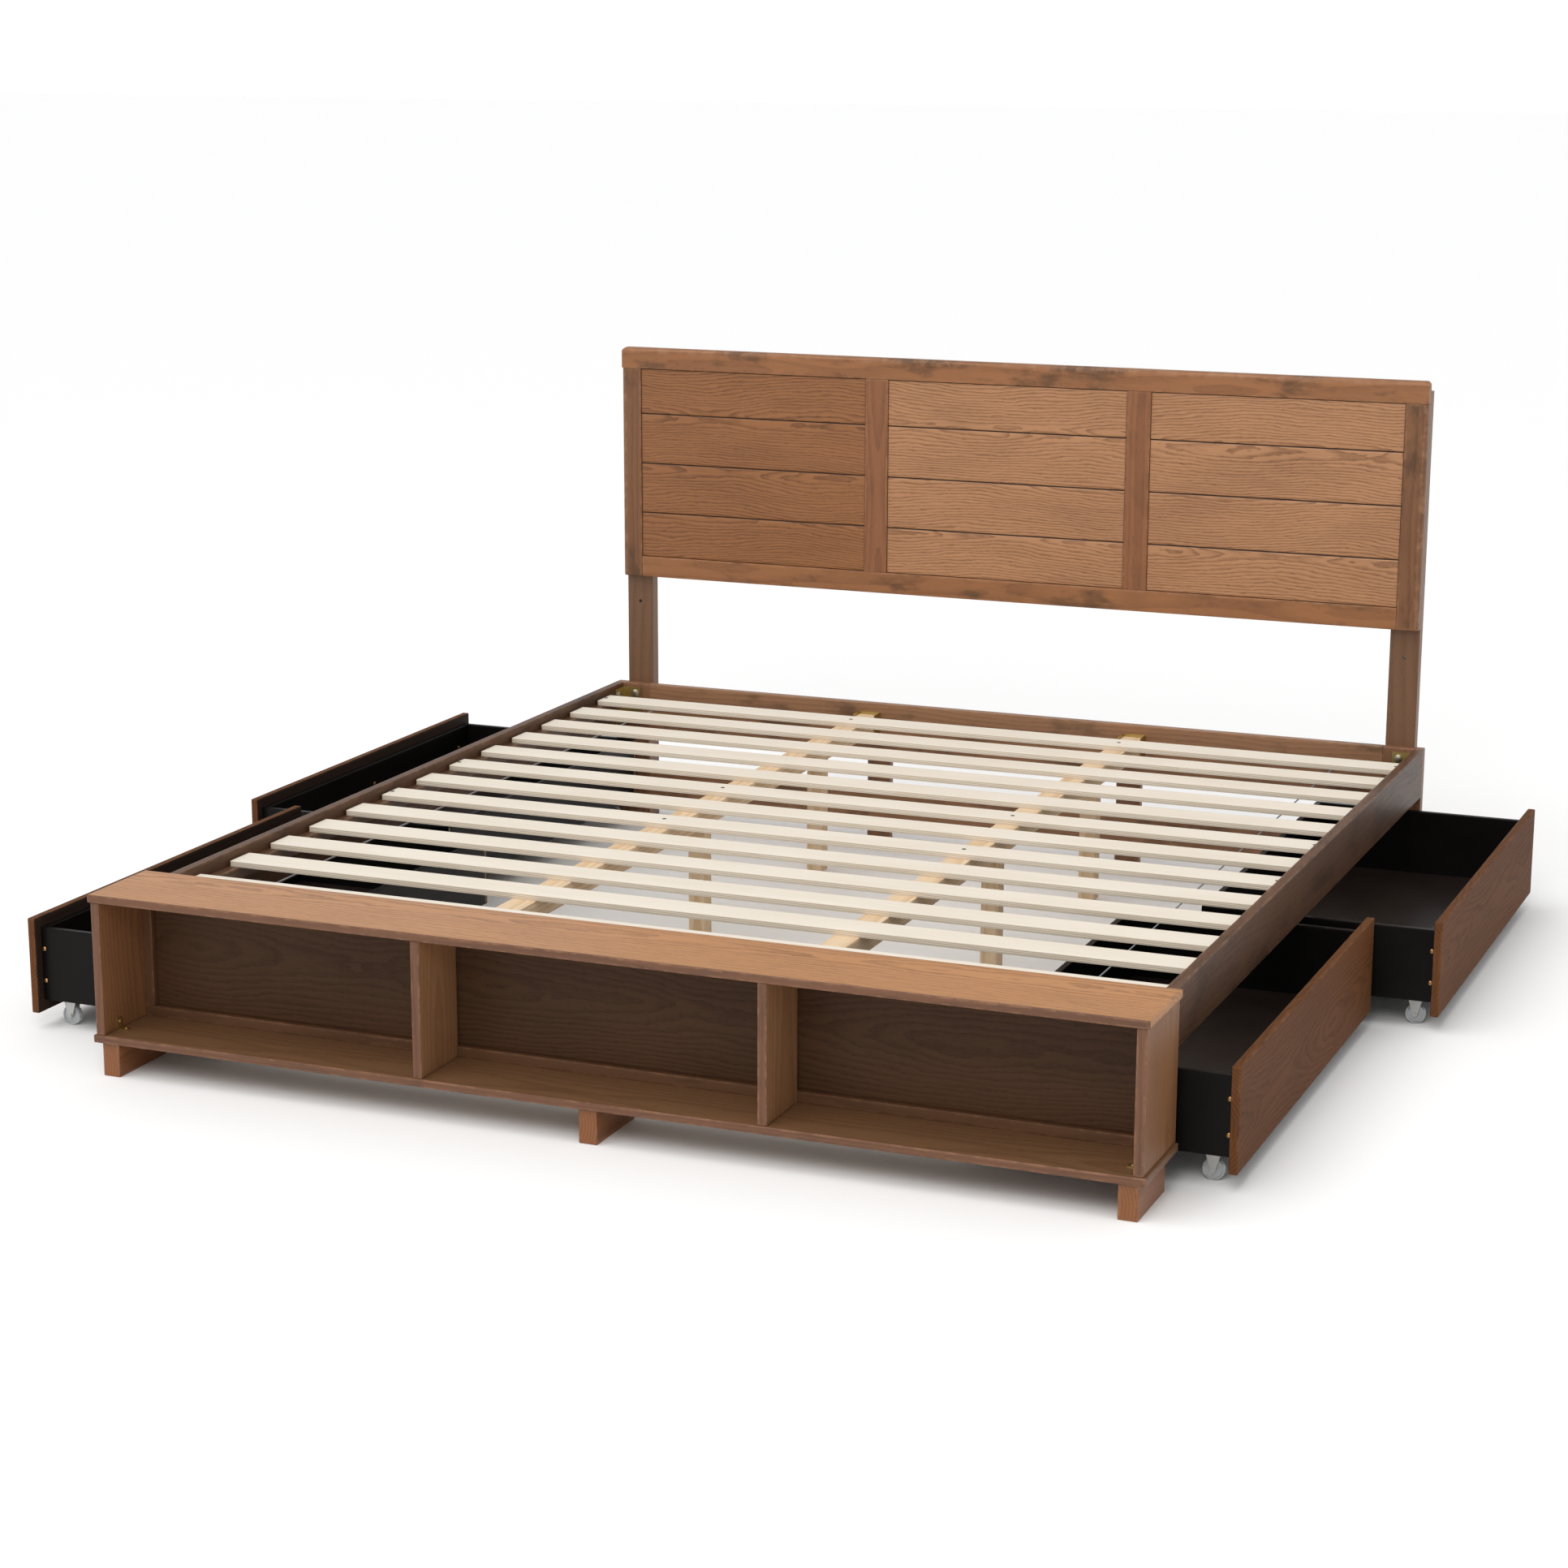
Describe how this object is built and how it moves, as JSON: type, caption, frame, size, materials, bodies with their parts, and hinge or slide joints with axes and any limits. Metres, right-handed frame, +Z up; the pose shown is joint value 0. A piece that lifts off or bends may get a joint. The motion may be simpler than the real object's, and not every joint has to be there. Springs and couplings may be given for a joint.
{
  "type": "platform bed with storage drawers",
  "caption": "King-size slatted platform bed in walnut-brown wood, with a panelled headboard, an open shelf footboard and rolling drawers under both sides.",
  "frame": {"origin": "the centre of the underside of the footboard's middle foot, on the floor", "axes": "+Z up, +Y from the footboard towards the headboard, +X to the right for someone who stands at the footboard and looks at the headboard"},
  "size_m": [2.66, 2.303, 1.151],
  "materials": {
    "walnut_frame": "walnut-brown stain under satin lacquer",
    "walnut_panel": "walnut-brown stained veneer, satin",
    "walnut_back": "thin dark brown stain, matte",
    "poplar_ply": "bare plywood",
    "pine": "bare planed softwood",
    "black_plastic": "moulded, matte",
    "zinc_plate": "yellow zinc plated",
    "steel_fastener": "dark zinc plated",
    "grey_cord": "woven cord",
    "black_laminate": "black laminated board, satin",
    "brown_laminate": "dark brown laminated board, satin",
    "caster_steel": "pressed sheet, zinc plated",
    "wheel_plastic": "clear grey plastic",
    "brass_bolt": "brass plated"
  },
  "bodies": {
    "frame": {"headboard_top_rail": "walnut_frame", "headboard_bottom_rail": "walnut_frame", "headboard_stiles": "walnut_frame", "headboard_mullions": "walnut_frame", "headboard_panels": "walnut_panel", "headboard_posts": "walnut_back", "headboard_bolts": "steel_fastener", "side_rail_left": "walnut_frame", "side_rail_right": "walnut_frame", "slat_ledgers": "walnut_back", "head_cross_rail": "walnut_frame", "head_stretcher": "walnut_frame", "head_legs": "walnut_frame", "head_centre_legs": "walnut_frame", "foot_cross_rail": "walnut_back", "centre_beams": "pine", "beam_hangers": "zinc_plate", "centre_legs": "pine", "leg_glides": "black_plastic", "corner_brackets": "zinc_plate", "corner_bolts": "steel_fastener", "slats": "poplar_ply", "slat_screws": "steel_fastener", "slat_straps": "grey_cord", "footboard_top": "walnut_frame", "footboard_bottom": "walnut_frame", "footboard_ends": "walnut_frame", "footboard_dividers": "walnut_frame", "footboard_back_panel": "walnut_back", "footboard_back_frame": "walnut_back", "footboard_feet": "walnut_frame", "footboard_brackets": "zinc_plate"},
    "drawer_rf": {"drawer_rf_front": "walnut_frame", "drawer_rf_walls": "black_laminate", "drawer_rf_bottom": "brown_laminate", "drawer_rf_casters": "caster_steel", "drawer_rf_bolts": "brass_bolt"},
    "wheels_rf_front": {"drawer_rf_wheels_front": "wheel_plastic"},
    "wheels_rf_back": {"drawer_rf_wheels_back": "wheel_plastic"},
    "drawer_rb": {"drawer_rb_front": "walnut_frame", "drawer_rb_walls": "black_laminate", "drawer_rb_bottom": "brown_laminate", "drawer_rb_casters": "caster_steel", "drawer_rb_bolts": "brass_bolt"},
    "wheels_rb_front": {"drawer_rb_wheels_front": "wheel_plastic"},
    "wheels_rb_back": {"drawer_rb_wheels_back": "wheel_plastic"},
    "drawer_lf": {"drawer_lf_front": "walnut_frame", "drawer_lf_walls": "black_laminate", "drawer_lf_bottom": "brown_laminate", "drawer_lf_casters": "caster_steel", "drawer_lf_bolts": "brass_bolt"},
    "wheels_lf_front": {"drawer_lf_wheels_front": "wheel_plastic"},
    "wheels_lf_back": {"drawer_lf_wheels_back": "wheel_plastic"},
    "drawer_lb": {"drawer_lb_front": "walnut_frame", "drawer_lb_walls": "black_laminate", "drawer_lb_bottom": "brown_laminate", "drawer_lb_casters": "caster_steel", "drawer_lb_bolts": "brass_bolt"},
    "wheels_lb_front": {"drawer_lb_wheels_front": "wheel_plastic"},
    "wheels_lb_back": {"drawer_lb_wheels_back": "wheel_plastic"}
  },
  "joints": [
    {"name": "slide_rf", "type": "slide", "parent": "frame", "child": "drawer_rf", "axis": [1, 0, 0], "range_m": [-0.125, 0.335]},
    {"name": "spin_rf_front", "type": "hinge", "parent": "drawer_rf", "child": "wheels_rf_front", "pos_m": [1.062, 0.6195, 0.02], "axis": [0, 1, 0], "continuous": true},
    {"name": "spin_rf_back", "type": "hinge", "parent": "drawer_rf", "child": "wheels_rf_back", "pos_m": [0.678, 0.6195, 0.02], "axis": [0, 1, 0], "continuous": true},
    {"name": "slide_rb", "type": "slide", "parent": "frame", "child": "drawer_rb", "axis": [1, 0, 0], "range_m": [-0.255, 0.205]},
    {"name": "spin_rb_front", "type": "hinge", "parent": "drawer_rb", "child": "wheels_rb_front", "pos_m": [1.192, 1.6445, 0.02], "axis": [0, 1, 0], "continuous": true},
    {"name": "spin_rb_back", "type": "hinge", "parent": "drawer_rb", "child": "wheels_rb_back", "pos_m": [0.808, 1.6445, 0.02], "axis": [0, 1, 0], "continuous": true},
    {"name": "slide_lf", "type": "slide", "parent": "frame", "child": "drawer_lf", "axis": [-1, 0, 0], "range_m": [-0.301, 0.159]},
    {"name": "spin_lf_front", "type": "hinge", "parent": "drawer_lf", "child": "wheels_lf_front", "pos_m": [-1.238, 0.6195, 0.02], "axis": [0, 1, 0], "continuous": true},
    {"name": "spin_lf_back", "type": "hinge", "parent": "drawer_lf", "child": "wheels_lf_back", "pos_m": [-0.854, 0.6195, 0.02], "axis": [0, 1, 0], "continuous": true},
    {"name": "slide_lb", "type": "slide", "parent": "frame", "child": "drawer_lb", "axis": [-1, 0, 0], "range_m": [-0.421, 0.039]},
    {"name": "spin_lb_front", "type": "hinge", "parent": "drawer_lb", "child": "wheels_lb_front", "pos_m": [-1.358, 1.6445, 0.02], "axis": [0, 1, 0], "continuous": true},
    {"name": "spin_lb_back", "type": "hinge", "parent": "drawer_lb", "child": "wheels_lb_back", "pos_m": [-0.974, 1.6445, 0.02], "axis": [0, 1, 0], "continuous": true}
  ],
  "couplings": [
    {"joint": "spin_rf_front", "follows": "slide_rf", "rad_per_m": 50},
    {"joint": "spin_rf_back", "follows": "slide_rf", "rad_per_m": 50},
    {"joint": "spin_rb_front", "follows": "slide_rb", "rad_per_m": 50},
    {"joint": "spin_rb_back", "follows": "slide_rb", "rad_per_m": 50},
    {"joint": "spin_lf_front", "follows": "slide_lf", "rad_per_m": -50},
    {"joint": "spin_lf_back", "follows": "slide_lf", "rad_per_m": -50},
    {"joint": "spin_lb_front", "follows": "slide_lb", "rad_per_m": -50},
    {"joint": "spin_lb_back", "follows": "slide_lb", "rad_per_m": -50}
  ]
}
